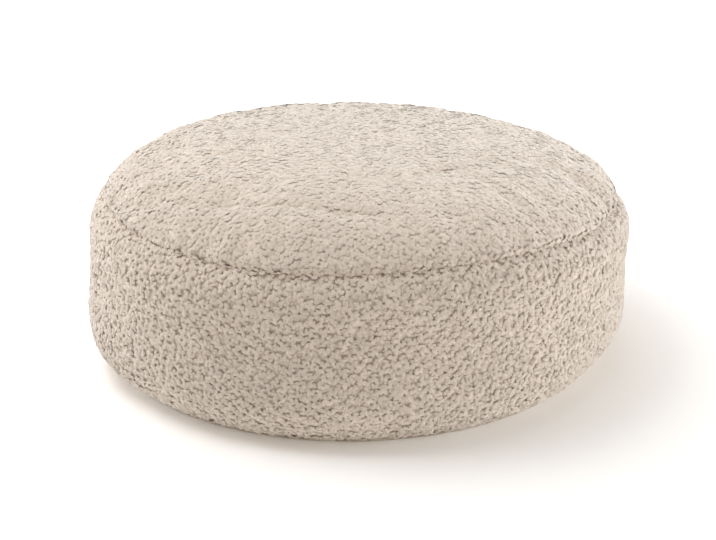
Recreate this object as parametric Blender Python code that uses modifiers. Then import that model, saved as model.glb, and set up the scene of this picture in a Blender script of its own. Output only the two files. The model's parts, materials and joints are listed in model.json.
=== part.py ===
"""Round bean bag footstool: a low filled drum in short curly pile, sewn from three panels.

The cover is a domed top panel, a bulging side band and a flat base panel. Each panel is one
closed solid that carries the filling behind it, and the solids part at the sewn seams, where
the cloth is drawn in. The outer surface is the one that the tips of the pile reach.
Metres, +Z up. The origin is on the surface that the bag stands on, under its middle.
"""
import math
from collections import namedtuple

import bmesh
import bpy
from mathutils import Vector

# Driving dimensions, in metres
OUTER_RADIUS = 0.400          # at the widest part of the side band, pile included
SEAM_HEIGHT = 0.230           # of the sewn line between the top panel and the side band
CROWN_RISE = 0.0745           # of the middle of the top above that line
BASE_THICKNESS = 0.006        # of the base panel, from the floor to its own seam
SEAM_GAP = 0.0003             # between two panels where they are sewn together

# The bag has settled a little to one side
LEAN = 0.050                  # sideways shift for each metre of height
SEAM_TILT = -0.0165           # rise of the top seam for each metre to the side
WAVE_REACH = 0.070            # height above and below the top seam that follows its waves
FOLD_MARGIN = 0.015           # height above the top seam over which a fold fades in
HOLLOW_MARGIN = 0.025         # height beside a seam over which a hollow fades in

# Fineness of the turned surfaces
SEGMENTS = 120
STEPS_PER_SECTION = 2

# A section is one ring of a panel: its radius as a share of OUTER_RADIUS, and its height as a
# share of the panel's own rise, which is CROWN_RISE for the top and SEAM_HEIGHT for the band.
Section = namedtuple("Section", "radius height")

TOP_SECTIONS = (              # from the middle of the top out to the seam
    Section(radius=0.000, height=1.000),
    Section(radius=0.190, height=0.992),
    Section(radius=0.379, height=0.957),
    Section(radius=0.510, height=0.917),
    Section(radius=0.616, height=0.859),
    Section(radius=0.720, height=0.743),
    Section(radius=0.806, height=0.569),
    Section(radius=0.862, height=0.403),
    Section(radius=0.901, height=0.239),
    Section(radius=0.928, height=0.100),
    Section(radius=0.9225, height=0.000),
)

BAND_SECTIONS = (             # from the top seam down to the base seam
    Section(radius=0.9225, height=1.000),
    Section(radius=0.951, height=0.974),
    Section(radius=0.978, height=0.886),
    Section(radius=0.983, height=0.704),
    Section(radius=0.9935, height=0.453),
    Section(radius=1.000, height=0.252),
    Section(radius=0.969, height=0.121),
    Section(radius=0.936, height=0.050),
    Section(radius=0.912, height=0.026),
)

BASE_SECTIONS = (             # from the base seam to the edge of the flat face, in base heights
    Section(radius=0.912, height=1.000),
    Section(radius=0.912, height=0.500),
    Section(radius=0.900, height=0.000),
)

# A fold is a soft trough in the top panel, or a ridge where its depth is negative. It follows
# a path in plan, given as shares of OUTER_RADIUS, and fades out at its reach, in metres.
Fold = namedtuple("Fold", "path depth reach")

TOP_FOLDS = (
    Fold(path=((-0.84, -0.34), (-0.66, -0.50), (-0.38, -0.63), (0.02, -0.73)),
         depth=0.0035, reach=0.034),
    Fold(path=((-0.72, -0.36), (-0.58, -0.43), (-0.42, -0.48)), depth=-0.0025, reach=0.034),
    Fold(path=((0.74, -0.25), (0.88, -0.36)), depth=0.0030, reach=0.026),
    Fold(path=((0.20, -0.45), (0.32, -0.38), (0.43, -0.31)), depth=0.0020, reach=0.030),
    Fold(path=((0.30, 0.72), (0.46, 0.66), (0.68, 0.45)), depth=0.0035, reach=0.036),
    Fold(path=((-0.80, 0.22), (-0.66, 0.34)), depth=0.0030, reach=0.034),
    Fold(path=((-0.70, 0.40), (-0.50, 0.62), (-0.30, 0.72)), depth=-0.0025, reach=0.070),
    Fold(path=((0.86, -0.24), (0.89, 0.06)), depth=-0.0040, reach=0.060),
)

# A hollow is a shallow dent in the side band, or a bulge where its depth is negative: its
# bearing in degrees, its height, its depth, and how far it spreads along the cloth.
Hollow = namedtuple("Hollow", "bearing height depth reach")

BAND_HOLLOWS = (
    Hollow(bearing=-88.0, height=0.150, depth=0.0030, reach=0.070),
    Hollow(bearing=-178.0, height=0.060, depth=0.0040, reach=0.110),
    Hollow(bearing=-150.0, height=0.030, depth=-0.0045, reach=0.100),
    Hollow(bearing=-34.0, height=0.040, depth=0.0040, reach=0.100),
    Hollow(bearing=-8.0, height=0.205, depth=-0.0030, reach=0.080),
    Hollow(bearing=48.0, height=0.140, depth=0.0030, reach=0.085),
    Hollow(bearing=118.0, height=0.110, depth=0.0025, reach=0.090),
)

# A wave lifts the top seam, or lowers it where its rise is negative, over a spread in degrees.
Wave = namedtuple("Wave", "bearing rise spread")

SEAM_WAVES = (
    Wave(bearing=-114.0, rise=-0.0070, spread=42.0),
    Wave(bearing=-62.0, rise=0.0060, spread=32.0),
    Wave(bearing=35.0, rise=-0.0040, spread=50.0),
    Wave(bearing=120.0, rise=0.0040, spread=50.0),
)

CREAM = (0.83, 0.76, 0.67, 1.0)
PALE_BEIGE = (0.76, 0.68, 0.58, 1.0)
PLAIN_BEIGE = (0.62, 0.55, 0.46, 1.0)
PILE_ROUGHNESS = 0.95
MERGE_DISTANCE = 0.0001


def clear_scene():
    """Remove whatever the file holds."""
    for thing in list(bpy.data.objects):
        bpy.data.objects.remove(thing, do_unlink=True)


def cloth_material(name, colour):
    """A dull fabric in one colour."""
    material = bpy.data.materials.new(name)
    material.use_nodes = True
    shader = material.node_tree.nodes["Principled BSDF"]
    shader.inputs["Base Color"].default_value = colour
    shader.inputs["Roughness"].default_value = PILE_ROUGHNESS
    shader.inputs["Metallic"].default_value = 0.0
    return material


def smooth_ring_points(sections, rise, foot):
    """Points of a smooth curve through the sections, as (radius, height) pairs in metres.

    The curve is a Catmull-Rom spline, which passes through each section.
    """
    rings = [Vector((s.radius * OUTER_RADIUS, foot + s.height * rise)) for s in sections]
    ends = [2 * rings[0] - rings[1]] + rings + [2 * rings[-1] - rings[-2]]
    points = []
    for before, start, end, after in zip(ends, ends[1:], ends[2:], ends[3:]):
        for step in range(STEPS_PER_SECTION):
            t = step / STEPS_PER_SECTION
            bend = (2 * start
                    + (end - before) * t
                    + (2 * before - 5 * start + 4 * end - after) * t ** 2
                    + (3 * start - before - 3 * end + after) * t ** 3)
            points.append(bend / 2)
    points.append(rings[-1])
    return points


def turned(name, outline):
    """Turn an outline, which runs from the axis down the outside and back, into a closed mesh."""
    mesh = bpy.data.meshes.new(name + "_outline")
    corners = [(radius, 0.0, height) for radius, height in outline]
    edges = [(i, i + 1) for i in range(len(corners) - 1)]
    mesh.from_pydata(corners, edges, [])
    profile = bpy.data.objects.new(name + "_profile", mesh)
    bpy.context.scene.collection.objects.link(profile)
    screw = profile.modifiers.new("Turn", "SCREW")
    screw.axis = "Z"
    screw.angle = math.tau
    screw.steps = SEGMENTS
    screw.render_steps = SEGMENTS
    screw.use_merge_vertices = True
    screw.merge_threshold = MERGE_DISTANCE
    evaluated = profile.evaluated_get(bpy.context.evaluated_depsgraph_get())
    solid = bpy.data.meshes.new_from_object(evaluated)
    solid.name = name
    bpy.data.objects.remove(profile, do_unlink=True)
    return solid


def fade(share):
    """A smooth fall from 1 at a share of 0 to 0 at a share of 1 and beyond."""
    rest = max(0.0, 1.0 - share * share)
    return rest * rest


def distance_to_path(point, path):
    """Shortest distance in plan from a point to a path given as shares of the outer radius."""
    stations = [Vector(station) * OUTER_RADIUS for station in path]
    shortest = math.inf
    for start, end in zip(stations, stations[1:]):
        run = end - start
        along = min(1.0, max(0.0, (point - start).dot(run) / run.length_squared))
        shortest = min(shortest, (point - start - along * run).length)
    return shortest


def turn_from(vertex, bearing):
    """The angle round the bag from a bearing in degrees to a vertex, in radians."""
    own_bearing = math.atan2(vertex.co.y, vertex.co.x)
    return math.remainder(own_bearing - math.radians(bearing), math.tau)


def fold_top(vertex):
    """Press the soft folds into the top panel. They fade out at the seam."""
    rise = vertex.co.z - SEAM_HEIGHT
    clear_of_seam = min(1.0, max(0.0, rise / FOLD_MARGIN))
    plan = Vector((vertex.co.x, vertex.co.y))
    for fold in TOP_FOLDS:
        press = fold.depth * fade(distance_to_path(plan, fold.path) / fold.reach)
        vertex.co.z -= press * clear_of_seam


def dent_band(vertex):
    """Press the shallow hollows into the side band."""
    radius = math.hypot(vertex.co.x, vertex.co.y)
    if radius < MERGE_DISTANCE:
        return
    seam_distance = min(vertex.co.z - BASE_THICKNESS, SEAM_HEIGHT - vertex.co.z)
    clear_of_seam = min(1.0, max(0.0, seam_distance / HOLLOW_MARGIN))
    press = 0.0
    for hollow in BAND_HOLLOWS:
        along = turn_from(vertex, hollow.bearing) * OUTER_RADIUS
        away = math.hypot(along, vertex.co.z - hollow.height)
        press += clear_of_seam * hollow.depth * fade(away / hollow.reach)
    vertex.co.x *= 1.0 - press / radius
    vertex.co.y *= 1.0 - press / radius


def keep_plain(vertex):
    """The base panel is flat and has no folds."""


def seam_wave(vertex):
    """How far a vertex is lifted by the waves of the top seam."""
    near_seam = fade(abs(vertex.co.z - SEAM_HEIGHT) / WAVE_REACH)
    near_edge = (vertex.co.x ** 2 + vertex.co.y ** 2) / OUTER_RADIUS ** 2
    lift = 0.0
    for wave in SEAM_WAVES:
        turn = abs(turn_from(vertex, wave.bearing))
        lift += wave.rise * fade(turn / math.radians(wave.spread))
    return lift * near_seam * near_edge


def settle(vertex):
    """Tip and lean the bag a little, as its filling has settled. The floor level stays flat."""
    height = vertex.co.z
    above_base = max(0.0, height - BASE_THICKNESS)
    vertex.co.z += SEAM_TILT * vertex.co.x * above_base / SEAM_HEIGHT + seam_wave(vertex)
    vertex.co.x += LEAN * height


def panel(name, outline, shape_vertex, colour, collection):
    """Make one panel from its outline, shape it by hand, and let it settle."""
    solid = turned(name, outline)
    for vertex in solid.vertices:
        shape_vertex(vertex)
        settle(vertex)
    shell = bmesh.new()
    shell.from_mesh(solid)
    bmesh.ops.remove_doubles(shell, verts=shell.verts, dist=MERGE_DISTANCE)
    bmesh.ops.recalc_face_normals(shell, faces=shell.faces)
    shell.to_mesh(solid)
    shell.free()
    solid.shade_smooth()
    solid.materials.clear()
    solid.materials.append(cloth_material(name + "_cloth", colour))
    piece = bpy.data.objects.new(name, solid)
    collection.objects.link(piece)
    return piece


def top_panel(collection):
    """The domed top: a nearly flat middle and a round shoulder that turns in to the seam."""
    foot = SEAM_HEIGHT + SEAM_GAP / 2
    outer = smooth_ring_points(TOP_SECTIONS, CROWN_RISE - SEAM_GAP / 2, foot)
    outline = outer + [Vector((0.0, foot))]
    return panel("top_panel", outline, fold_top, CREAM, collection)


def side_band(collection):
    """The side: it turns out from the top seam, bulges low down, and tucks under the bag."""
    outer = smooth_ring_points(BAND_SECTIONS, SEAM_HEIGHT - SEAM_GAP / 2, 0.0)
    outer[-1].y = BASE_THICKNESS + SEAM_GAP / 2
    outline = [Vector((0.0, outer[0].y))] + outer + [Vector((0.0, outer[-1].y))]
    return panel("side_band", outline, dent_band, PALE_BEIGE, collection)


def base_panel(collection):
    """The base: a flat round face on the floor with a short turned-up edge."""
    outer = smooth_ring_points(BASE_SECTIONS, BASE_THICKNESS - SEAM_GAP / 2, 0.0)
    outline = [Vector((0.0, outer[0].y))] + outer + [Vector((0.0, 0.0))]
    return panel("base_panel", outline, keep_plain, PLAIN_BEIGE, collection)


def centre_over_origin(pieces):
    """Move the whole bag sideways so that its box stands over the origin."""
    corners = [vertex.co for piece in pieces for vertex in piece.data.vertices]
    for axis in (0, 1):
        places = [corner[axis] for corner in corners]
        middle = (min(places) + max(places)) / 2
        for corner in corners:
            corner[axis] -= middle


def main():
    clear_scene()
    collection = bpy.data.collections.new("bean_bag_footstool")
    bpy.context.scene.collection.children.link(collection)
    pieces = [top_panel(collection), side_band(collection), base_panel(collection)]
    centre_over_origin(pieces)


main()
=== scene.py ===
# %% [markdown]
# # A round bean bag footstool in curly pile
# The bag is sewn from three panels: a domed top, a bulging side band and a flat base. The
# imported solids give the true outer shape, which is the surface that the tips of the pile
# reach. Here each panel becomes real cloth over a filling, and the top and the band grow a
# pile of small tufts. Everything is in metres, in the same frame as the solids.

# %% Load the frame
import json
import math
from collections import namedtuple

import bmesh
import bpy
import numpy as np
from mathutils import Matrix, Vector
from mathutils.bvhtree import BVHTree

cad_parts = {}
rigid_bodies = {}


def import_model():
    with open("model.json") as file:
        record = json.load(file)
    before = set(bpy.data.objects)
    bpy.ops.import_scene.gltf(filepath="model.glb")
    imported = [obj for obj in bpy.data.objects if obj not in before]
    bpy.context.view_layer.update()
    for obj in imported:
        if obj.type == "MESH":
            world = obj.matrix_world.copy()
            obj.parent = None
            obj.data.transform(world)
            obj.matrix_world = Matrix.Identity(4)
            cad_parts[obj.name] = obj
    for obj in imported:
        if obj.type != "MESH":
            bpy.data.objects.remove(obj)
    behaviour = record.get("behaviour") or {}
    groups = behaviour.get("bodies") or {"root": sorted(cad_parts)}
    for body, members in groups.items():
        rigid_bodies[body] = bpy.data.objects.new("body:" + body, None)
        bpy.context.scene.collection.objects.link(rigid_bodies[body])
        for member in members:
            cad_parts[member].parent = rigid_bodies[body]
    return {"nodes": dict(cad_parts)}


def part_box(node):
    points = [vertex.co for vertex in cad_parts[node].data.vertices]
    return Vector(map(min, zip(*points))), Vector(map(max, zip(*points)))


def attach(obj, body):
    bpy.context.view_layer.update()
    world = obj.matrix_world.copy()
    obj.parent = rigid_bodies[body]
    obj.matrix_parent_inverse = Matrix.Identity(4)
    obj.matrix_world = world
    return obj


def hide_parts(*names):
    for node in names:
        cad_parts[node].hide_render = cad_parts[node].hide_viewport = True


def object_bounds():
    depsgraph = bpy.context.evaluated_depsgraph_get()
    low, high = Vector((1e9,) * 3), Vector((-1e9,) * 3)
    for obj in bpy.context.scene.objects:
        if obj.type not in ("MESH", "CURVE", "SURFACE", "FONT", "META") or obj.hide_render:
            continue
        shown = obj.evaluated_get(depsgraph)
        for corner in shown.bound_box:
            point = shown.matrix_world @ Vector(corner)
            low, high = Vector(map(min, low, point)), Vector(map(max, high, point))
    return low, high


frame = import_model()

cad_low, cad_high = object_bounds()
scene = bpy.context.scene
base_low, base_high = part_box("base_panel")
print("outer size in metres:", [round(side, 4) for side in cad_high - cad_low])

# %% [markdown]
# ## The camera
# The bag is seen from a little above, at about the height of a table, with a mild telephoto
# lens, so its circles look like calm ellipses. The camera is placed by its distance, its
# height angle and the point that it aims at, and is rolled by half a degree.

# %% Helper for new objects
def new_piece(name, data):
    """A new object for a mesh, a lamp or a camera, linked into the scene."""
    piece = bpy.data.objects.new(name, data)
    scene.collection.objects.link(piece)
    return piece


# %% Camera
CAMERA_DISTANCE = 1.80
CAMERA_ELEVATION = math.radians(21.2)
CAMERA_ROLL = math.radians(-0.48)
CAMERA_AIM = Vector((0.002, 0.0, 0.0935))
LENS_MM = 59.4
SENSOR_MM = 36.0

camera_data = bpy.data.cameras.new("Camera")
camera_data.lens = LENS_MM
camera_data.sensor_width = SENSOR_MM
camera = new_piece("Camera", camera_data)
camera_back = Vector((0.0, -math.cos(CAMERA_ELEVATION), math.sin(CAMERA_ELEVATION)))
camera.location = CAMERA_AIM + CAMERA_DISTANCE * camera_back
looking = (-camera_back).to_track_quat("-Z", "Y").to_matrix()
camera.rotation_euler = (looking @ Matrix.Rotation(CAMERA_ROLL, 3, "Z")).to_euler()
scene.camera = camera
print("camera at", [round(place, 3) for place in camera.location])

# %% [markdown]
# ## Floor
# A white studio floor carries the bag, and far off it turns up into a pale wall, as the paper
# sweep of a studio does, so that no edge shows from any side. Both are one spun profile. The
# floor gives off some light of its own, and more of it farther away, so that it stays white.

# %% Helpers for materials, nodes and spun shapes
def principled(name, constants):
    """A Principled material with these constants on its shader."""
    material = bpy.data.materials.new(name)
    material.use_nodes = True
    shader = material.node_tree.nodes["Principled BSDF"]
    for socket, value in constants.items():
        shader.inputs[socket].default_value = value
    return material, material.node_tree, shader


def add_node(tree, kind, inputs=None, **settings):
    """Add a node, fill its inputs with values or sockets, and give back its outputs."""
    node = tree.nodes.new(kind)
    for name, value in settings.items():
        setattr(node, name, value)
    for place, value in (inputs or {}).items():
        if isinstance(value, bpy.types.NodeSocket):
            tree.links.new(value, node.inputs[place])
        else:
            node.inputs[place].default_value = value
    return node.outputs


def math_node(tree, operation, first, second):
    """One step of arithmetic on two numbers."""
    return add_node(tree, "ShaderNodeMath", {0: first, 1: second}, operation=operation)[0]


def spun_shape(outline, steps, weld, middle):
    """An outline of radius and height, turned once round the Z axis and moved to a middle."""
    shape = bmesh.new()
    stations = [shape.verts.new((reach, 0.0, height)) for reach, height in outline]
    edges = [shape.edges.new(pair) for pair in zip(stations, stations[1:])]
    bmesh.ops.spin(shape, geom=stations + edges, axis=(0, 0, 1), cent=(0, 0, 0),
                   angle=math.tau, steps=steps, use_merge=True, use_duplicate=False)
    bmesh.ops.remove_doubles(shape, verts=shape.verts, dist=weld)
    bmesh.ops.translate(shape, verts=shape.verts, vec=middle)
    bmesh.ops.recalc_face_normals(shape, faces=shape.faces)
    return shape


def as_mesh(shape, name):
    """Turn an edited shape into a mesh."""
    mesh = bpy.data.meshes.new(name)
    shape.to_mesh(mesh)
    shape.free()
    return mesh


# %% Floor
FLOOR_PROFILE = (  # radius and height, in metres
    (0.0, 0.0), (6.0, 0.0), (30.0, 0.0), (34.0, 0.2), (37.0, 0.9), (39.0, 2.2), (40.0, 4.2))
FLOOR_STEPS = 96
FLOOR_WELD = 0.001
FLOOR_COLOUR = (0.95, 0.95, 0.95, 1.0)
FLOOR_GLOW = (  # from and to which distance, and how much light is added there
    (0.0, 0.01, 0.16), (0.42, 1.05, 0.22), (1.9, 5.0, 0.30))
WARM = (1.08, 1.0, 0.90)


def floor_material():
    """Matt white, with a glow that grows with the distance from the bag."""
    material, tree, shader = principled("Studio_floor", {
        "Base Color": FLOOR_COLOUR, "Roughness": 0.8, "Specular IOR Level": 0.1,
        "Emission Color": (*WARM, 1.0)})
    place = add_node(tree, "ShaderNodeTexCoord")["Object"]
    away = add_node(tree, "ShaderNodeVectorMath", {0: place}, operation="LENGTH")["Value"]
    total = 0.0
    for nearest, farthest, strength in FLOOR_GLOW:
        glow = add_node(tree, "ShaderNodeMapRange", {
            "Value": away, "From Min": nearest, "From Max": farthest, "To Max": strength},
            interpolation_type="SMOOTHSTEP")["Result"]
        total = math_node(tree, "ADD", glow, total)
    tree.links.new(total, shader.inputs["Emission Strength"])
    return material


shape = spun_shape(FLOOR_PROFILE, FLOOR_STEPS, FLOOR_WELD, middle=(0, 0, 0))
for face in shape.faces:
    if face.normal.z < 0.0:
        face.normal_flip()
floor = new_piece("Studio_floor", as_mesh(shape, "Studio_floor"))
floor.data.materials.append(floor_material())
print("the floor has", len(floor.data.polygons), "faces and reaches", FLOOR_PROFILE[-1][0], "m")

# %% [markdown]
# ## Lamps
# The light is soft and comes mostly from above and from both sides, a little more from the
# right, so the top is bright, both flanks are lit, and the front of the band stays in its own
# soft shade. Large lamps make light soft. Those at the sides and behind are a little cooler
# and the one in front a little warmer. The last one lights only the floor behind the bag.

# %% Lamps
PLAIN = (1.0, 1.0, 1.0)
COOL = (0.97, 1.0, 1.04)
LIT_POINT = Vector((0.0, 0.0, 0.15))  # the middle of the bag, which the lamps face
BACKGROUND_SPREAD = math.radians(100)
WORLD_STRENGTH = 0.02
Lamp = namedtuple("Lamp", "name place width height power colour")
LAMPS = (
    Lamp("Light_above", (-0.3, 0.2, 2.6), 2.8, 2.2, 32.0, PLAIN),
    Lamp("Light_above_left", (-1.2, 0.3, 2.3), 1.8, 1.6, 36.0, PLAIN),
    Lamp("Light_front", (0.0, -1.3, 2.4), 2.0, 1.6, 3.0, WARM),
    Lamp("Light_right", (2.7, 0.0, 0.40), 1.8, 0.7, 37.0, COOL),
    Lamp("Light_front_right", (2.1, -1.5, 1.0), 1.6, 1.4, 11.0, PLAIN),
    Lamp("Light_left", (-2.6, 0.4, 0.85), 1.4, 1.4, 21.0, COOL),
    Lamp("Light_back", (0.0, 2.6, 1.4), 2.2, 1.4, 13.0, COOL),
    Lamp("Light_background", (0.0, 3.4, 2.4), 3.6, 2.0, 60.0, PLAIN),
)


def soft_box(lamp):
    """A rectangular studio lamp that faces the bag."""
    lamp_data = bpy.data.lights.new(lamp.name, "AREA")
    lamp_data.shape = "RECTANGLE"
    lamp_data.size = lamp.width
    lamp_data.size_y = lamp.height
    lamp_data.energy = lamp.power
    lamp_data.color = lamp.colour
    box = new_piece(lamp.name, lamp_data)
    box.location = lamp.place
    box.rotation_euler = (LIT_POINT - box.location).to_track_quat("-Z", "Y").to_euler()
    return box


soft_boxes = [soft_box(lamp) for lamp in LAMPS]
background_lamp = soft_boxes[-1]
background_lamp.rotation_euler = (0.0, 0.0, 0.0)  # straight down, behind the bag
background_lamp.data.spread = BACKGROUND_SPREAD

world = bpy.data.worlds.new("Studio")
scene.world = world
world.use_nodes = True
background = world.node_tree.nodes["Background"]
background.inputs["Color"].default_value = (*WARM, 1.0)
background.inputs["Strength"].default_value = WORLD_STRENGTH
scene.view_settings.view_transform = "Standard"
scene.view_settings.look = "None"
print(len(soft_boxes), "lamps give", sum(lamp.power for lamp in LAMPS), "watts")

# %% [markdown]
# ## Mesh helpers
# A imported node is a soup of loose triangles, so a working copy is welded first. Numbers move
# between Blender and numpy in one go, which is far quicker than a Python loop over points.

# %% Mesh helpers
WELD = 0.0001                 # corners nearer than this are one point


def welded_shape(node):
    """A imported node's triangles, joined where their corners meet."""
    shape = bmesh.new()
    shape.from_mesh(frame["nodes"][node].data)
    bmesh.ops.remove_doubles(shape, verts=shape.verts, dist=WELD)
    return shape


def values_of(items, name, width=1, kind=float):
    """A property of every item, as a numpy array, in rows where it has several numbers."""
    values = np.empty(len(items) * width, dtype=kind)
    items.foreach_get(name, values)
    return values.reshape(-1, width) if width > 1 else values


def points_of(mesh):
    """All the mesh's points as rows of x, y and z."""
    return values_of(mesh.vertices, "co", 3)


def set_points(mesh, points):
    mesh.vertices.foreach_set("co", points.ravel())
    mesh.update()


def fade(share):
    """A smooth fall from 1 at a share of 0 to 0 at a share of 1 and beyond."""
    rest = np.clip(1.0 - np.square(share), 0.0, 1.0)
    return rest * rest


def active_only(piece):
    bpy.ops.object.select_all(action="DESELECT")
    piece.select_set(True)
    bpy.context.view_layer.objects.active = piece


# %% [markdown]
# ## Which points are sewn down
# Where two panels are parted, a solid is closed by a flat fan of triangles round a hub on the
# bag's axis. The rim of that fan is the seam. Points that lie on a fan are inside the bag and
# never show, so the cloth is held there, and its visible part is what lies outside the rim.

# %% Fans and rims
FAN_SPOKES = 40               # a hub joins at least this many triangles


class Solid:
    """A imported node's welded mesh: its faces for nearest-point tests, and its seam rims."""

    def __init__(self, node, hub_heights):
        shape = welded_shape(node)
        shape.faces.ensure_lookup_table()
        hubs = [v for v in shape.verts if len(v.link_faces) >= FAN_SPOKES]
        hubs.sort(key=lambda v: v.co.z)
        chosen = [hubs[place] for place in hub_heights]
        self.inner_faces = {face.index for hub in chosen for face in hub.link_faces}
        self.rims = [self.rim_round(hub) for hub in chosen]
        self.tree = BVHTree.FromBMesh(shape)
        shape.free()

    @staticmethod
    def rim_round(hub):
        """The points round one hub, in the order of their bearings."""
        ring = [edge.other_vert(hub).co.copy() for edge in hub.link_edges]
        ring.sort(key=lambda co: math.atan2(co.y, co.x))
        return np.array([list(co) for co in ring])

    def is_inner(self, points):
        """True for the points whose nearest face is part of a fan."""
        return np.array([self.tree.find_nearest(p)[2] in self.inner_faces for p in points])


def rim_at(rim, bearing):
    """How far out and how high a rim runs at these bearings."""
    rim_bearing = np.arctan2(rim[:, 1], rim[:, 0])
    reach = np.interp(bearing, rim_bearing, np.hypot(rim[:, 0], rim[:, 1]), period=math.tau)
    height = np.interp(bearing, rim_bearing, rim[:, 2], period=math.tau)
    return reach, height


def rim_distance(points, rims):
    """Distance from each point to the nearest rim, measured up and outwards at its bearing."""
    bearing = np.arctan2(points[:, 1], points[:, 0])
    radius = np.hypot(points[:, 0], points[:, 1])
    nearest = np.full(len(points), np.inf)
    for rim in rims:
        reach, height = rim_at(rim, bearing)
        nearest = np.minimum(nearest, np.hypot(radius - reach, points[:, 2] - height))
    return nearest


top_solid = Solid("top_panel", hub_heights=(0,))
band_solid = Solid("side_band", hub_heights=(0, 1))
print("rim points:", [len(rim) for rim in top_solid.rims + band_solid.rims])

# %% [markdown]
# ## How tall the pile stands
# New pile stands up. On the top, feet press it flat, most of all in the middle, while the band
# keeps its pile, because nothing rests on it. How tall the pile stands is a share from 0 to 1,
# which falls smoothly from the seam to the middle of the top, so that no line shows.

# %% How tall the pile stands
PRESSED = 0.25                # how tall the pile still stands where feet rest
BRUSHED = 0.74                # how tall it stands on the top beside the seam
PRESSED_FROM = 0.020          # distance from the top's seam where it starts to be pressed
PRESSED_FULLY = 0.130         # and where it is pressed as flat as it gets


def standing(points, solid):
    """How tall the pile stands at each point, as a share: less in the middle of the top."""
    if len(solid.rims) > 1:  # the band has two seams and nothing rests on it
        return np.ones(len(points))
    inwards = rim_distance(points, solid.rims) - PRESSED_FROM
    share = np.clip(inwards / (PRESSED_FULLY - PRESSED_FROM), 0.0, 1.0)
    return BRUSHED - (BRUSHED - PRESSED) * share * share * (3.0 - 2.0 * share)


middle_of_top = np.array([[0.0, 0.0, cad_high.z]])
print("in the middle of the top the pile stands at", standing(middle_of_top, top_solid)[0])

# %% [markdown]
# ## Filling the bag
# A filled panel is simulated, because cloth over loose beads is never a perfect curve. The
# panel's copy is remeshed into even small squares, opened at its seams, set in by the depth of
# the pile and held at its rims. It is cut a little larger than the space that it has, and a
# gentle pressure swells it, so it gathers softly beside its seams. The solid already has the
# bag's broad shape, so only the gathers are kept: the broad part of each point's movement is
# found by averaging over its neighbours many times, and is taken away again.

# %% Opening a panel at its seams
VOXEL = 0.0085                # size of the squares that are simulated
PILE_DEPTH = 0.0030           # how far the cloth lies under the solid, below its pile
SEAM_TURN = 0.014             # width beside a seam over which the cloth turns in
SEAM_PULL = 0.0012            # how far the top seam is drawn in under the solid's own seam
TIGHT_PULL = 0.0030           # how much further it is drawn in where the thread is tight
TIGHT_BEARING = math.radians(-62)
TIGHT_SPREAD = math.radians(70)
BASE_PULL = 0.0022            # how far the base seam is drawn in
FULL_SHOULDER = 0.0032        # how far the filling pushes out the shoulder above the seam
SHOULDER_AWAY = 0.042         # where that is, measured from the seam


def remeshed_copy(node, name):
    """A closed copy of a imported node, in even small squares."""
    piece = new_piece(name, as_mesh(welded_shape(node), name))
    piece.data.remesh_voxel_size = VOXEL
    active_only(piece)
    bpy.ops.object.voxel_remesh()
    return piece


def is_pinched(vertex):
    """True for a point that carries no face, or where two stretches of a rim touch."""
    rim_edges = sum(edge.is_boundary for edge in vertex.link_edges)
    return rim_edges > 2 or not vertex.link_faces


def open_at_rims(piece, unwanted):
    """Take off the points inside the bag, and leave open rims."""
    shape = bmesh.new()
    shape.from_mesh(piece.data)
    shape.verts.ensure_lookup_table()
    gone = [shape.verts[int(i)] for i in np.flatnonzero(unwanted)]
    while gone:
        bmesh.ops.delete(shape, geom=gone, context="VERTS")
        gone = [vertex for vertex in shape.verts if is_pinched(vertex)]
    shape.to_mesh(piece.data)
    shape.free()


def rim_points(mesh):
    """True for the points on an open rim, whose edges carry one face."""
    edge_of_corner = values_of(mesh.loops, "edge_index", kind=int)
    faces_on_edge = np.bincount(edge_of_corner, minlength=len(mesh.edges))
    on_rim = np.zeros(len(mesh.vertices), dtype=bool)
    on_rim[values_of(mesh.edges, "vertices", 2, int)[faces_on_edge == 1]] = True
    return on_rim


def nearest_rim(heights, rims):
    """Which rim each height belongs to."""
    levels = np.array([rim[:, 2].mean() for rim in rims])
    return np.abs(heights[:, None] - levels[None, :]).argmin(axis=1)


def seam_pull(points):
    """How far the nearest seam is drawn in at each point."""
    turn = np.arctan2(points[:, 1], points[:, 0]) - TIGHT_BEARING
    turn = np.abs((turn + math.pi) % math.tau - math.pi)
    top_pull = SEAM_PULL + TIGHT_PULL * fade(turn / TIGHT_SPREAD)
    return np.where(points[:, 2] > 0.5 * cad_high.z, top_pull, BASE_PULL)


def set_in(piece, solid):
    """Move the cloth in under the pile, and its rims onto the seams."""
    points, outward = points_of(piece.data), values_of(piece.data.vertices, "normal", 3)
    away = rim_distance(points, solid.rims)
    pull = seam_pull(points)
    depth = PILE_DEPTH * standing(points, solid)
    if solid is top_solid:
        depth -= FULL_SHOULDER * fade((away - SHOULDER_AWAY) / SHOULDER_AWAY)
    depth += (pull - depth) * fade(away / SEAM_TURN)
    placed = points - outward * depth[:, None]
    on_rim = rim_points(piece.data)
    belongs = nearest_rim(points[:, 2], solid.rims)
    for number, rim in enumerate(solid.rims):
        sewn = on_rim & (belongs == number)
        bearing = np.arctan2(points[sewn, 1], points[sewn, 0])
        reach, height = rim_at(rim, bearing)
        reach = reach - pull[sewn]
        placed[sewn] = np.column_stack(
            (reach * np.cos(bearing), reach * np.sin(bearing), height))
    set_points(piece.data, placed)
    return on_rim


# %% Cloth simulation
LAST_FRAME = 20
PRESSURE = 4.0
EXTRA_CLOTH = 0.012           # share by which the cloth is cut too large
BROAD_ROUNDS = 60             # rounds of averaging that leave only the broad movement
GATHER_CAP = 0.0018           # how far a gather may stand out or in


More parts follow.
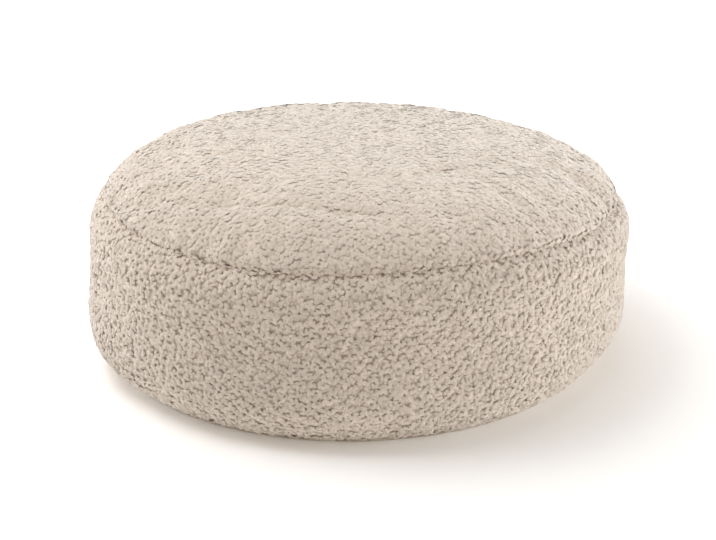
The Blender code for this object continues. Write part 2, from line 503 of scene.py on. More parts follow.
def broad_part(mesh, moved):
    """The movement averaged over each point's neighbours, many times."""
    ends = values_of(mesh.edges, "vertices", 2, int)
    count = np.bincount(ends.ravel(), minlength=len(moved))[:, None]
    for _ in range(BROAD_ROUNDS):
        total = np.zeros_like(moved)
        np.add.at(total, ends[:, 0], moved[ends[:, 1]])
        np.add.at(total, ends[:, 1], moved[ends[:, 0]])
        moved = 0.5 * moved + 0.5 * total / count
    return moved


def swell(piece, held):
    """Simulate the cloth under pressure, and keep the gathers that it makes."""
    group = piece.vertex_groups.new(name="sewn")
    group.add([int(i) for i in np.flatnonzero(held)], 1.0, "REPLACE")
    start = points_of(piece.data)
    cloth = piece.modifiers.new("Cloth", "CLOTH")
    rules = cloth.settings
    rules.quality = 5
    rules.mass = 0.25
    rules.tension_stiffness = 15.0
    rules.compression_stiffness = 15.0
    rules.shear_stiffness = 7.5
    rules.bending_stiffness = 0.6
    rules.use_pressure = True
    rules.uniform_pressure_force = PRESSURE
    rules.vertex_group_mass = "sewn"
    rules.pin_stiffness = 1.0
    rules.shrink_min = -EXTRA_CLOTH
    rules.effector_weights.gravity = 0.0
    cloth.collision_settings.use_collision = False
    for step in range(1, LAST_FRAME + 1):
        scene.frame_set(step)
    evaluated = piece.evaluated_get(bpy.context.evaluated_depsgraph_get())
    moved = points_of(evaluated.to_mesh()) - start
    evaluated.to_mesh_clear()
    piece.modifiers.clear()
    piece.vertex_groups.clear()
    scene.frame_set(1)
    gathers = moved - broad_part(piece.data, moved)
    gathers[held] = 0.0
    size = np.linalg.norm(gathers, axis=1, keepdims=True)
    gathers *= np.minimum(1.0, GATHER_CAP / np.maximum(size, 1e-9))
    set_points(piece.data, start + gathers)
    print(piece.name, "moved by", round(float(np.abs(moved).max()) * 1000, 1), "mm at most;",
          "its gathers are", round(float(size.mean()) * 1000, 2), "mm on average")


def keep_result(piece):
    """Make what the modifiers give the piece's own mesh."""
    evaluated = piece.evaluated_get(bpy.context.evaluated_depsgraph_get())
    finished = bpy.data.meshes.new_from_object(evaluated)
    piece.modifiers.clear()
    piece.data = finished


def subdivided(piece):
    smoother = piece.modifiers.new("Smooth", "SUBSURF")
    smoother.levels = 1
    smoother.render_levels = 1
    keep_result(piece)


def filled_panel(node, name, solid):
    """The outer cloth of one filled panel, simulated and smoothed, open at its rims."""
    piece = remeshed_copy(node, name)
    open_at_rims(piece, solid.is_inner(points_of(piece.data)))
    held = set_in(piece, solid)
    swell(piece, held)
    subdivided(piece)
    print(name, "has", len(piece.data.polygons), "faces")
    return piece


# %% Fill the top and the band
top_cloth = filled_panel("top_panel", "top_cloth", top_solid)
band_cloth = filled_panel("side_band", "band_cloth", band_solid)

# %% [markdown]
# ## Creases
# Where the bag has been sat on, the cloth keeps a few creases. They are listed as soft troughs,
# each along a short path with its own depth and width, and a negative depth makes a ridge.
# Pressing points in along their own normals keeps a crease soft on a curved surface.

# %% Creases in the top and the band
Crease = namedtuple("Crease", "path depth width")
TOP_CREASES = (
    Crease(((-0.280, -0.152), (-0.236, -0.173), (-0.188, -0.186)), -0.0030, 0.013),
    Crease(((-0.340, -0.137), (-0.273, -0.200), (-0.203, -0.235), (-0.111, -0.262),
            (-0.048, -0.280), (0.027, -0.295)), 0.0030, 0.012),
    Crease(((0.026, 0.019), (0.079, 0.051), (0.136, 0.100)), 0.0022, 0.009),
    Crease(((0.076, -0.179), (0.124, -0.154), (0.167, -0.126)), 0.0022, 0.010),
    Crease(((0.301, -0.108), (0.338, -0.139)), 0.0035, 0.009),
    Crease(((-0.150, 0.230), (-0.080, 0.262), (0.010, 0.281)), 0.0025, 0.012),
    Crease(((0.225, 0.180), (0.262, 0.226)), 0.0030, 0.010),
)
BAND_CREASES = (
    Crease(((-0.018, -0.395, 0.132), (0.009, -0.393, 0.177), (0.036, -0.394, 0.131)),
           0.0035, 0.009),
    Crease(((0.205, 0.338, 0.168), (0.262, 0.296, 0.150)), 0.0030, 0.011),
    Crease(((-0.330, 0.214, 0.185), (-0.296, 0.262, 0.160), (-0.240, 0.312, 0.156)),
           0.0030, 0.011),
)


def path_distance(points, path):
    """Distance from each point to a path of straight pieces."""
    nearest = np.full(len(points), np.inf)
    for begin, end in zip(np.array(path[:-1]), np.array(path[1:])):
        along = end - begin
        share = np.clip((points - begin) @ along / (along @ along), 0.0, 1.0)
        gap = points - begin - share[:, None] * along
        nearest = np.minimum(nearest, np.linalg.norm(gap, axis=1))
    return nearest


def crease(piece, creases):
    """Press the creases into a piece, along its own normals."""
    points, outward = points_of(piece.data), values_of(piece.data.vertices, "normal", 3)
    press = np.zeros(len(points))
    for item in creases:
        flat = len(item.path[0])  # a path on the top is a plan, without heights
        press += item.depth * fade(path_distance(points[:, :flat], item.path) / item.width)
    set_points(piece.data, points - outward * press[:, None])
    print(piece.name, "has", len(creases), "creases")


crease(top_cloth, TOP_CREASES)
crease(band_cloth, BAND_CREASES)

# %% [markdown]
# ## Closing the cloth
# Each rim is closed inside the bag with one flat fan, so every panel is a closed form. The
# fans never show and grow no pile, so the outer faces are marked.

# %% Close the rims
def closed_rims(piece, solid):
    """Close each open rim with a fan of triangles, and mark the faces that grow pile."""
    outer_faces = len(piece.data.polygons)
    levels = [float(rim[:, 2].mean()) for rim in solid.rims]
    shape = bmesh.new()
    shape.from_mesh(piece.data)
    hubs = [shape.verts.new((0.0, 0.0, level)) for level in levels]
    for edge in [edge for edge in shape.edges if edge.is_boundary]:
        start, end = edge.verts
        gaps = [abs(start.co.z - level) for level in levels]
        shape.faces.new((start, end, hubs[gaps.index(min(gaps))]))
    bmesh.ops.recalc_face_normals(shape, faces=shape.faces)
    loose = sum(not edge.is_manifold for edge in shape.edges)
    shape.to_mesh(piece.data)
    shape.free()
    piece.data.shade_smooth()
    grows = piece.data.attributes.new("pile", "BOOLEAN", "FACE")
    grows.data.foreach_set("value", np.arange(len(piece.data.polygons)) < outer_faces)
    stands = piece.data.attributes.new("stand", "FLOAT", "POINT")
    stands.data.foreach_set("value", standing(points_of(piece.data), solid))
    print(piece.name, "is closed by", len(piece.data.polygons) - outer_faces,
          "fan faces and has", loose, "open edges")


closed_rims(top_cloth, top_solid)
closed_rims(band_cloth, band_solid)

# %% [markdown]
# ## Finishes
# The pile is a cream yarn. Real yarn passes some light on to its roots, which a plain surface
# can't, so the gaps between modelled tufts would get too dark. The roots and the knitted
# ground under them therefore have a slightly lighter tone than the tips. Each tuft is a little
# lighter or darker than the next, as each is another stretch of yarn, and the fibres give it a
# fine bump and a soft sheen. The base is a tough plain weave, which two crossed waves draw.

# %% Helpers for materials
def cloth_material(name, roughness, sheen):
    """A matt Principled material for cloth, with a constant sheen."""
    return principled(name, {
        "Roughness": roughness, "Specular IOR Level": 0.15, "Sheen Weight": sheen,
        "Sheen Roughness": 0.45, "Sheen Tint": (1.0, 0.97, 0.94, 1.0),
        "Diffuse Roughness": 0.6})


def mixed(tree, factor, first, second, blend="MIX"):
    """Mix two colours, given as values or as sockets."""
    return add_node(tree, "ShaderNodeMix", {0: factor, 6: first, 7: second},
                    data_type="RGBA", blend_type=blend)[2]


def noise_value(tree, scale, detail):
    """Noise from 0 to 1 on Object coordinates."""
    place = add_node(tree, "ShaderNodeTexCoord")["Object"]
    return add_node(tree, "ShaderNodeTexNoise",
                    {"Vector": place, "Scale": scale, "Detail": detail})["Fac"]


def spread(tree, value, low, high):
    """Map a value from 0..1 to low..high."""
    return add_node(tree, "ShaderNodeMapRange",
                    {"Value": value, "To Min": low, "To Max": high})["Result"]


def add_bump(tree, shader, height, strength, distance):
    bump = add_node(tree, "ShaderNodeBump",
                    {"Height": height, "Strength": strength, "Distance": distance})
    tree.links.new(bump["Normal"], shader.inputs["Normal"])


# %% The pile and its ground
TIP_COLOUR = (0.840, 0.745, 0.650, 1.0)
STANDING_ROOT_PAINTED_LIGHT = 1.05          # tone at the roots, as a share of the tips; above 1 is painted light
PRESSED_ROOT_PAINTED_LIGHT = 1.13           # the same painted light where the pile lies flat, a little more of it
TUFT_TONES = (0.91, 1.04)     # tone of the darkest and of the lightest tuft
PATCH_SCALE = 9.0             # broad patches of tone to a metre
PATCH_TONES = (0.94, 1.05)    # tone of the darkest and of the lightest patch
GROUND_TONES = (-0.04, 0.02)  # the same on the ground, added to its own tone
FIBRE_SCALE = 1400.0          # fibres to a metre
FIBRE_BUMP = (0.25, 0.0003)   # strength, and depth in metres
GROUND_SCALE = 190.0          # lumps of the ground to a metre
GROUND_DEPTH = 0.0060


def shaded(colour, share):
    """A darker, warmer tone of a colour, or a lighter, cooler one for a share above 1."""
    red, green, blue, alpha = colour
    return (red * share, green * share ** 1.15, blue * share ** 1.3, alpha)


def pile_material():
    """Yarn with painted light at its roots, a little lighter than its tips, each tuft with its
    own tone.
    """
    material, tree, shader = cloth_material("Curly_pile", roughness=0.95, sheen=0.40)
    stands, height, root = [add_node(tree, "ShaderNodeAttribute", attribute_name=name)
                            for name in ("stand", "tip", "root")]
    share = add_node(tree, "ShaderNodeMapRange", {"Value": stands["Fac"], "From Min": PRESSED})
    # The roots get painted light, more where the pile lies flat, to fill the shade between
    # tufts.
    root_painted_light = mixed(tree, share["Result"], shaded(TIP_COLOUR, PRESSED_ROOT_PAINTED_LIGHT),
                      shaded(TIP_COLOUR, STANDING_ROOT_PAINTED_LIGHT))
    colour = mixed(tree, height["Fac"], root_painted_light, TIP_COLOUR)
    chance = add_node(tree, "ShaderNodeTexWhiteNoise", {"Vector": root["Vector"]},
                      noise_dimensions="3D")["Value"]
    tone = spread(tree, chance, *TUFT_TONES)
    own_colour = mixed(tree, 1.0, colour, tone, "MULTIPLY")
    colour = mixed(tree, stands["Fac"], colour, own_colour)
    tone = spread(tree, noise_value(tree, PATCH_SCALE, 3.0), *PATCH_TONES)
    colour = mixed(tree, 1.0, colour, tone, "MULTIPLY")
    tree.links.new(colour, shader.inputs["Base Color"])
    add_bump(tree, shader, noise_value(tree, FIBRE_SCALE, 2.0), *FIBRE_BUMP)
    return material


def ground_material(name, share, lumps):
    """The knit under the pile, whose short yarn ends make it lumpy; a share above 1 paints
    light into its tone.
    """
    material, tree, shader = cloth_material(name, roughness=1.0, sheen=0.15)
    darker, lighter = [shaded(TIP_COLOUR, share + more) for more in GROUND_TONES]
    colour = mixed(tree, noise_value(tree, PATCH_SCALE, 3.0), darker, lighter)
    tree.links.new(colour, shader.inputs["Base Color"])
    add_bump(tree, shader, noise_value(tree, GROUND_SCALE, 3.0), lumps, GROUND_DEPTH)
    return material


pile_finish = pile_material()
# Both grounds are lighter than the tips: painted light that fills the shade between tufts.
top_ground = ground_material("Top_ground", share=1.12, lumps=0.2)
band_ground = ground_material("Band_ground", share=1.10, lumps=0.6)


def dress(piece, finish):
    piece.data.materials.clear()
    piece.data.materials.append(finish)


dress(top_cloth, top_ground)
dress(band_cloth, band_ground)
print("finishes:", [finish.name for finish in (pile_finish, top_ground, band_ground)])

# %% [markdown]
# ## Tufts
# The pile is yarn that stands up from a knitted ground and curls over, and neighbouring locks
# cling together in tufts. A tuft here is three fat locks that start near its middle, rise,
# swirl outwards and come down again, under a fourth that arches over the middle. Four shapes
# are enough, because each copy is turned, tipped, flattened and sized by chance. A tuft
# carries a mark from 0 at its roots to 1 at its crown, which its colour reads.

# %% Tuft shapes
MAP_NAME = "OFBake"
OUTER_LOCKS = 3
LOCK_SIDES = 4
LOCK_RINGS = ((0.0, 0.85), (0.42, 1.0), (0.80, 0.80))  # share of the length, and of the girth
LOCK_ARC = (0.06, 0.82)       # where on half a wave a lock starts, and how much it runs over
ROOT_RADIUS = 0.0012          # how far from the tuft's middle its locks start
CROWN_REACH = 0.50            # half the crown lock's span, as a share of the tuft's reach
CROWN_RISE = 1.30             # its height, as a share of the other locks' rise
CROWN_DROP = 0.50             # how far its ends hang down, as a share of its height
LOOK_AHEAD = 0.05             # share of a lock's length over which its direction is taken
TuftShape = namedtuple("TuftShape", "name swirl rise reach girth")
TUFT_SHAPES = (
    TuftShape("Tuft_open", math.radians(70), 0.0032, 0.0074, 0.0037),
    TuftShape("Tuft_round", math.radians(105), 0.0036, 0.0068, 0.0036),
    TuftShape("Tuft_turned", math.radians(-85), 0.0031, 0.0072, 0.0038),
    TuftShape("Tuft_tight", math.radians(-125), 0.0038, 0.0062, 0.0035),
)


def along_lock(form, lock, share):
    """The middle of one lock at a share of its length."""
    if lock == OUTER_LOCKS:  # the crown lock, an arch over the middle
        across = 2.0 * share - 1.0
        radius = CROWN_REACH * form.reach * across
        bearing = form.swirl
        height = CROWN_RISE * form.rise * (1.0 - CROWN_DROP * across * across)
    else:
        bearing = math.tau * lock / OUTER_LOCKS + form.swirl * share
        radius = ROOT_RADIUS + (form.reach - ROOT_RADIUS) * share
        height = form.rise * math.sin(math.pi * (LOCK_ARC[0] + LOCK_ARC[1] * share))
    return Vector((radius * math.cos(bearing), radius * math.sin(bearing), height))


def lock_tube(form, lock):
    """Corners and faces of one lock, closed at its root and pointed at its tip."""
    corners, faces = [], []
    for share, fullness in LOCK_RINGS:
        middle = along_lock(form, lock, share)
        along = (along_lock(form, lock, share + LOOK_AHEAD) - middle).normalized()
        side = along.cross(Vector((0.0, 0.0, 1.0))).normalized()
        out = side.cross(along).normalized()
        for corner in range(LOCK_SIDES):
            angle = math.tau * (corner + 0.5) / LOCK_SIDES
            spoke = math.cos(angle) * side + math.sin(angle) * out
            corners.append(middle + fullness * form.girth * spoke)
    corners.append(along_lock(form, lock, 1.0))
    faces.append(tuple(range(LOCK_SIDES)))
    for ring in range(len(LOCK_RINGS)):
        for corner in range(LOCK_SIDES):
            here = ring * LOCK_SIDES + corner
            beside = ring * LOCK_SIDES + (corner + 1) % LOCK_SIDES
            if ring < len(LOCK_RINGS) - 1:
                faces.append((here, beside, beside + LOCK_SIDES, here + LOCK_SIDES))
            else:
                faces.append((here, beside, len(corners) - 1))
    return corners, faces


def tuft_object(form):
    """One tuft: its locks in one mesh, marked, and mapped by its side view."""
    corners, faces = [], []
    for lock in range(OUTER_LOCKS + 1):
        lock_corners, lock_faces = lock_tube(form, lock)
        first = len(corners)
        corners += lock_corners
        faces += [tuple(first + corner for corner in face) for face in lock_faces]
    mesh = bpy.data.meshes.new(form.name)
    mesh.from_pydata(corners, [], faces)
    shape = bmesh.new()
    shape.from_mesh(mesh)
    bmesh.ops.recalc_face_normals(shape, faces=shape.faces)
    shape.to_mesh(mesh)
    shape.free()
    mesh.shade_smooth()
    crown = max(corner.z for corner in corners)
    # The mark tells the pile's material where its painted light at the roots lies.
    marks = [min(1.0, max(0.0, corner.z / crown)) for corner in corners]
    mesh.attributes.new("tip", "FLOAT", "POINT").data.foreach_set("value", marks)
    widest = max(abs(corner.x) for corner in corners)
    on_map = [(0.5 + 0.5 * corner.x / widest, mark) for corner, mark in zip(corners, marks)]
    picture = mesh.uv_layers.new(name=MAP_NAME)
    for loop in mesh.loops:
        picture.uv[loop.index].vector = on_map[loop.vertex_index]
    return bpy.data.objects.new(form.name, mesh)


tufts = bpy.data.collections.new("Tufts")
for form in TUFT_SHAPES:
    tufts.objects.link(tuft_object(form))

# %% [markdown]
# ## Growing the pile
# Thousands of tufts that follow a surface are a job for Geometry Nodes. Points are scattered on
# the cloth at an even but random spacing. Each takes one of the shapes, stands it on the cloth,
# and turns, tips and sizes it by chance. Two bearings limit a piece to one part of the bag, so
# no piece gets too heavy, and as the seed is the same, the parts meet without a line. Light
# scatters among real fibres, so the shading of the tufts is turned partly to the cloth's.

# %% The pile's node tree
MOST_POINTS = 160000.0        # points to a square metre before the spacing thins them
TREE_INPUTS = (
    ("Cloth", "Geometry"), ("Spacing", "Float"), ("Least size", "Float"),
    ("Greatest size", "Float"), ("Flatness", "Float"), ("Tip over", "Float"),
    ("From bearing", "Float"), ("To bearing", "Float"), ("Seed", "Int"),
    ("Tufts", "Collection"), ("Finish", "Material"))
DRAW_PLACES = {  # a random node's sockets: lowest, highest and drawn value
    "FLOAT_VECTOR": (0, 1, 0), "FLOAT": (2, 3, 1), "INT": (4, 5, 2)}


def outside_bearings(tree, asked):
    """True for a point whose bearing is not between the two that are asked for."""
    place = add_node(tree, "GeometryNodeInputPosition")["Position"]
    parts = add_node(tree, "ShaderNodeSeparateXYZ", {"Vector": place})
    bearing = math_node(tree, "ARCTAN2", parts["Y"], parts["X"])
    before = add_node(tree, "FunctionNodeCompare", {"A": bearing, "B": asked["From bearing"]},
                      operation="LESS_THAN")[0]
    after = add_node(tree, "FunctionNodeCompare", {"A": bearing, "B": asked["To bearing"]},
                     operation="GREATER_EQUAL")[0]
    return add_node(tree, "FunctionNodeBooleanMath", {0: before, 1: after}, operation="OR")[0]


def by_chance(tree, asked, kind, lowest, highest):
    """A value that is drawn for each point, between two bounds."""
    low, high, drawn = DRAW_PLACES[kind]
    return add_node(tree, "FunctionNodeRandomValue", {
        low: lowest, high: highest, "Seed": asked["Seed"]}, data_type=kind)[drawn]


def chance_turn(tree, asked):
    """A rotation that tips a tuft over by chance and turns it any way round."""
    most = asked["Tip over"]
    least = math_node(tree, "MULTIPLY", most, -1.0)
    lowest = add_node(tree, "ShaderNodeCombineXYZ", {"X": least, "Y": least})[0]
    highest = add_node(tree, "ShaderNodeCombineXYZ", {"X": most, "Y": most, "Z": math.tau})[0]
    angles = by_chance(tree, asked, "FLOAT_VECTOR", lowest, highest)
    return add_node(tree, "FunctionNodeEulerToRotation", {0: angles})[0]


def chance_size(tree, asked):
    """A scale between the two sizes, with its height set by how tall the pile stands."""
    size = by_chance(tree, asked, "FLOAT", asked["Least size"], asked["Greatest size"])
    stands = add_node(tree, "GeometryNodeInputNamedAttribute", {"Name": "stand"},
                      data_type="FLOAT")["Attribute"]
    rises = math_node(tree, "MULTIPLY", stands, asked["Flatness"])
    tall = math_node(tree, "MULTIPLY", size, rises)
    return add_node(tree, "ShaderNodeCombineXYZ", {"X": size, "Y": size, "Z": tall})[0]


def keep_vector(tree, name, domain, geometry, value):
    """Store a vector under a name."""
    return add_node(tree, "GeometryNodeStoreNamedAttribute", {
        "Name": name, "Geometry": geometry, "Value": value},
        data_type="FLOAT_VECTOR", domain=domain)["Geometry"]


def pile_tree():
    """The tree that plants tufts on a cloth, with its inputs asked for by name."""
    tree = bpy.data.node_groups.new("Pile", "GeometryNodeTree")
    tree.interface.new_socket(name="Pile", in_out="OUTPUT", socket_type="NodeSocketGeometry")
    for name, kind in TREE_INPUTS:
        tree.interface.new_socket(name=name, in_out="INPUT", socket_type="NodeSocket" + kind)
    asked = add_node(tree, "NodeGroupInput")

    grows = add_node(tree, "GeometryNodeInputNamedAttribute", {"Name": "pile"},
                     data_type="BOOLEAN")["Attribute"]
    scatter = add_node(tree, "GeometryNodeDistributePointsOnFaces", {
        "Mesh": asked["Cloth"], "Selection": grows, "Distance Min": asked["Spacing"],
        "Density Max": MOST_POINTS, "Seed": asked["Seed"]}, distribute_method="POISSON")
    points = keep_vector(tree, "out", "POINT", scatter["Points"], scatter["Normal"])
    trimmed = add_node(tree, "GeometryNodeDeleteGeometry", {
        "Geometry": points, "Selection": outside_bearings(tree, asked)}, domain="POINT")

    choices = add_node(tree, "GeometryNodeCollectionInfo", {
        "Collection": asked["Tufts"], "Separate Children": True, "Reset Children": True},
        transform_space="ORIGINAL")
    turned = add_node(tree, "FunctionNodeRotateRotation", {
        0: scatter["Rotation"], 1: chance_turn(tree, asked)}, rotation_space="LOCAL")
    planted = add_node(tree, "GeometryNodeInstanceOnPoints", {
        "Points": trimmed["Geometry"], "Instance": choices["Instances"],
        "Pick Instance": True, "Rotation": turned[0], "Scale": chance_size(tree, asked),
        "Instance Index": by_chance(tree, asked, "INT", 0, len(TUFT_SHAPES) - 1)})
    place = add_node(tree, "GeometryNodeInputPosition")["Position"]
    rooted = keep_vector(tree, "root", "INSTANCE", planted["Instances"], place)
    real = add_node(tree, "GeometryNodeRealizeInstances", {"Geometry": rooted})
    finished = add_node(tree, "GeometryNodeSetMaterial", {
        "Geometry": real["Geometry"], "Material": asked["Finish"]})
    add_node(tree, "NodeGroupOutput", {"Pile": finished["Geometry"]})
    return tree


pile_nodes = pile_tree()
print("the pile's tree has", len(pile_nodes.nodes), "nodes")

# %% Grow the pile
PileKind = namedtuple("PileKind", "cloth name node sizes tip_over softness parts seed")
SPACING = 0.0091              # least distance from one tuft's middle to the next
FLATNESS = 0.48               # how tall a standing tuft is, as a share of its modelled shape
PILES = (
    PileKind(cloth=top_cloth, name="top_pile", node="top_panel", sizes=(0.85, 1.10),
             tip_over=0.14, softness=0.65, parts=2, seed=3),
    PileKind(cloth=band_cloth, name="band_pile", node="side_band", sizes=(0.85, 1.15),
             tip_over=0.20, softness=0.50, parts=3, seed=5),
)
MAP_MARGIN = 0.12             # free edge of a tuft's square, as a share of it
PAST_LAST = 0.001             # how far the last part reaches past its bearing, so it is closed


def as_plain_mesh(piece, tree, values):
    """Run a node tree on a piece with named inputs, and keep its result as the mesh."""
    modifier = piece.modifiers.new("Nodes", "NODES")
    modifier.node_group = tree
    for item in tree.interface.items_tree:
        if item.in_out == "INPUT" and item.name in values:
            modifier[item.identifier] = values[item.name]
    piece.update_tag()
    keep_result(piece)
    piece.data.name = piece.name


def soften(mesh, softness):
    """Turn the shading of the pile part of the way to that of the cloth it stands on."""
    own = values_of(mesh.vertices, "normal", 3)
    out = values_of(mesh.attributes["out"].data, "vector", 3)
    blend = (1.0 - softness) * own + softness * out
    blend /= np.linalg.norm(blend, axis=1, keepdims=True)
    mesh.normals_split_custom_set_from_vertices(blend)
    mesh.attributes.remove(mesh.attributes["out"])


def spread_map(mesh):
    """Give each tuft a square of its own on the map, with its side view in it."""
    corners = len(mesh.loops)
    corners_per_tuft = len(tufts.objects[0].data.loops)
    count = corners // corners_per_tuft
    across = math.ceil(math.sqrt(count))
    tuft = np.arange(corners) // corners_per_tuft
    places = mesh.uv_layers[MAP_NAME].uv
    within = MAP_MARGIN + (1.0 - 2.0 * MAP_MARGIN) * values_of(places, "vector", 2)
    square = np.column_stack((tuft % across, tuft // across))
    places.foreach_set("vector", ((square + within) / across).ravel())


def grown_pile(kind, part):
    """Plant the tufts of one part of a cloth's pile, between two bearings."""
    pile = new_piece(f"{kind.name}_{part + 1}", kind.cloth.data.copy())
    step = math.tau / kind.parts
    end = (part + 1) * step - math.pi + PAST_LAST * (part + 1 == kind.parts)
    values = {"Spacing": SPACING, "Least size": kind.sizes[0],
              "Greatest size": kind.sizes[1], "Flatness": FLATNESS,
              "Tip over": kind.tip_over, "Seed": kind.seed, "Tufts": tufts,
              "From bearing": part * step - math.pi, "To bearing": end,
              "Finish": pile_finish}
    as_plain_mesh(pile, pile_nodes, values)
    soften(pile.data, kind.softness)
    spread_map(pile.data)
    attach(pile, "root")
    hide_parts(kind.node)
    return pile


piles = [grown_pile(kind, part) for kind in PILES for part in range(kind.parts)]

# %% [markdown]
# ## Maps for baked colours
# A viewer that can't run these materials shows a picture of each piece's colours instead, laid
# on by a map. The plain base gets no map here. A tuft's side view fits its own small square,
# because within a tuft the tone changes only with height. The top is laid out round its middle
# and the band as a long strip, and the hidden fans get a small corner.

# %% Maps of the cloth
TOP_CENTRE = Vector((0.0, 0.0, 0.20))     # the top is mapped by its direction from here
BAND_CORE = (0.30, 0.115)     # radius and height of the ring from which the band is mapped
TOP_SPREAD = math.radians(125)            # the greatest turn from straight up
BAND_SPREAD = math.radians(150)           # the greatest turn from level
ROUND_HALF = 0.49             # how far from the middle of the map the top's edge lies
STRIP_START, STRIP_LENGTH = 0.02, 0.97    # where the band's strip starts, and its length
STRIP_HALF = 0.48             # half of the strip's width
FAN_CORNER = 0.010            # width of the corner that the hidden fans get


def corner_points(mesh):
    """Each face corner's point, which face it is part of, and whether that face grows pile."""
    point = values_of(mesh.loops, "vertex_index", kind=int)
    sizes = values_of(mesh.polygons, "loop_total", kind=int)
    face = np.repeat(np.arange(len(sizes)), sizes)
    grows = values_of(mesh.attributes["pile"].data, "value", kind=bool)
    return points_of(mesh)[point], face, grows[face]


def round_layout(points, _face):
    """The top from above, pulled out flat round its middle."""
    away = points - np.array(TOP_CENTRE)
    bearing = np.arctan2(away[:, 1], away[:, 0])
    turn = np.arctan2(np.hypot(away[:, 0], away[:, 1]), away[:, 2]) / TOP_SPREAD
    flat = np.column_stack((turn * np.cos(bearing), turn * np.sin(bearing)))
    return 0.5 + ROUND_HALF * flat


def strip_layout(points, face):
    """The band unrolled, with the faces that cross its ends carried past the far end."""
    bearing = np.arctan2(points[:, 1], points[:, 0])
    first = np.full(face.max() + 1, np.inf)
    np.minimum.at(first, face, bearing)
    bearing = np.where(bearing - first[face] > math.pi, bearing - math.tau, bearing)
    lowest = bearing.min()
    along = (bearing - lowest) / (bearing.max() - lowest)
    radius = np.hypot(points[:, 0], points[:, 1])
    turn = np.arctan2(points[:, 2] - BAND_CORE[1], radius - BAND_CORE[0]) / BAND_SPREAD
    return np.column_stack((STRIP_START + STRIP_LENGTH * along, 0.5 + STRIP_HALF * turn))


def add_map(piece, layout):
    """Lay the piece out flat on a map of its own, with its hidden fans in one corner."""
    points, face, grows = corner_points(piece.data)
    on_map = layout(points, face)
    plan = points[:, :2] / np.abs(points[:, :2]).max()
    on_map[~grows] = FAN_CORNER * 0.5 * (1.0 + plan[~grows])
    picture = piece.data.uv_layers.new(name=MAP_NAME)
    picture.uv.foreach_set("vector", np.clip(on_map, 0.0, 1.0).ravel())


add_map(top_cloth, round_layout)
add_map(band_cloth, strip_layout)
print("mapped:", top_cloth.name, "and", band_cloth.name)

# %% [markdown]
# ## The base
# The underside is one disc of plain woven cloth, which wears better than pile. It is sewn to
# the band from inside, so only a drawn-in edge shows, gathered a little where the seam took up
# slack cloth. A profile spun round the bag's axis gives the disc with its rounded edge, and
# the gathers are pressed in along the rim, upwards, so that the bag still stands flat.

# %% The base cloth
BASE_STEPS = 240
BASE_PROFILE = (  # radius inside the solid's edge, and height, in metres
    (0.0060, 0.0), (0.0040, 0.0003), (0.0024, 0.0011), (0.0016, 0.0022), (0.0014, 0.0034),
    (0.0020, 0.0046), (0.0036, 0.0054))
BASE_RINGS = (0.05, 0.10, 0.15, 0.20, 0.25, 0.28, 0.30, 0.315, 0.325, 0.333, 0.340, 0.346,
              0.351, 0.355)
GATHER_TURNS = (47, 74, 103)  # waves round the rim, added up so that no two gathers match
GATHER_RISE = 0.0011
GATHER_WIDTH = 0.038
WEAVE_PITCH = 0.0016          # from one thread of the base cloth to the next
WAVE_SCALE = math.tau / (20.0 * WEAVE_PITCH)  # what a wave node calls this pitch
THREAD_WAVER = 0.4            # how much the threads stray from a straight line
WAVER_SCALE = 2.0
THREAD_TOP, THREAD_GAP = 1.05, 0.86  # tones on a thread and between threads
WEAVE_BUMP = (0.6, 0.0003)    # strength, and depth in metres
BASE_COLOUR = (0.62, 0.55, 0.46, 1.0)


def spun_disc(name, radius, middle):
    """A closed disc with a rounded edge."""
    outline = [(0.0, 0.0)] + [(ring, 0.0) for ring in BASE_RINGS]
    outline += [(radius - inside, height) for inside, height in BASE_PROFILE]
    outline += [(0.0, BASE_PROFILE[-1][1])]
    piece = new_piece(name, as_mesh(spun_shape(outline, BASE_STEPS, WELD, middle), name))
    piece.data.shade_smooth()
    return piece


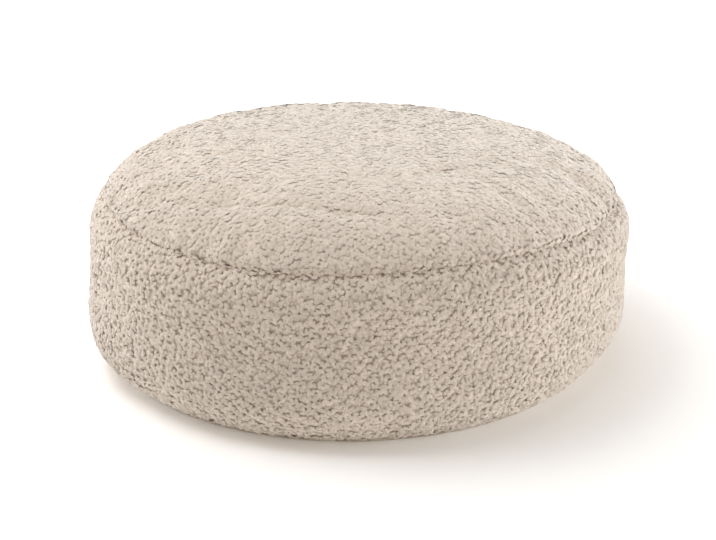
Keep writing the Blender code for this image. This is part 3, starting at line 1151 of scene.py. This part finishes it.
def gather_rim(piece, radius, middle):
    """Lift the rim of the disc in soft gathers that fade out inwards."""
    points = points_of(piece.data)
    bearing = np.arctan2(points[:, 1] - middle[1], points[:, 0] - middle[0])
    reach = np.hypot(points[:, 0] - middle[0], points[:, 1] - middle[1])
    waves = sum(np.sin(turns * bearing + turns) for turns in GATHER_TURNS)
    lift = GATHER_RISE * np.clip(waves / len(GATHER_TURNS), 0.0, 1.0)
    near_rim = fade((radius - reach) / GATHER_WIDTH)
    below = points[:, 2] < 0.5 * BASE_PROFILE[-1][1]
    points[:, 2] += lift * near_rim * below
    set_points(piece.data, points)


def woven_material():
    """Plain weave: threads one way and the other, over and under."""
    material, tree, shader = cloth_material("Plain_weave", roughness=0.9, sheen=0.10)
    place = add_node(tree, "ShaderNodeTexCoord")["Object"]
    across, along = [add_node(tree, "ShaderNodeTexWave", {
        "Vector": place, "Scale": WAVE_SCALE, "Distortion": THREAD_WAVER,
        "Detail Scale": WAVER_SCALE}, bands_direction=direction)["Fac"] for direction in "XY"]
    weave = math_node(tree, "MAXIMUM", across, along)
    gap, thread = shaded(BASE_COLOUR, THREAD_GAP), shaded(BASE_COLOUR, THREAD_TOP)
    tree.links.new(mixed(tree, weave, gap, thread), shader.inputs["Base Color"])
    add_bump(tree, shader, weave, *WEAVE_BUMP)
    return material


base_radius = 0.5 * (base_high.x - base_low.x)
base_middle = Vector((0.5 * (base_low.x + base_high.x), 0.5 * (base_low.y + base_high.y), 0.0))
base_cloth = spun_disc("base_cloth", base_radius, base_middle)
gather_rim(base_cloth, base_radius, base_middle)
dress(base_cloth, woven_material())
print("base_cloth has", len(base_cloth.data.polygons), "faces and a radius of",
      round(base_radius, 4), "m")

# %% [markdown]
# ## How the pieces move and which solid each one replaces
# Nothing on the bag moves, so every piece rides the one body. Each cloth takes the place of its
# own solid, which is hidden, and all three are held plump by the same loose filling.

# %% Ride
CLOTHS = (
    (top_cloth, "top_panel", "top_pile"),
    (band_cloth, "side_band", "band_pile"),
    (base_cloth, "base_panel", "base_cloth"),
)
for cloth, node, slot in CLOTHS:
    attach(cloth, "root")
    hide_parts(node)
print(len(CLOTHS), "cloths and", len(piles), "parts of the pile ride the bag")
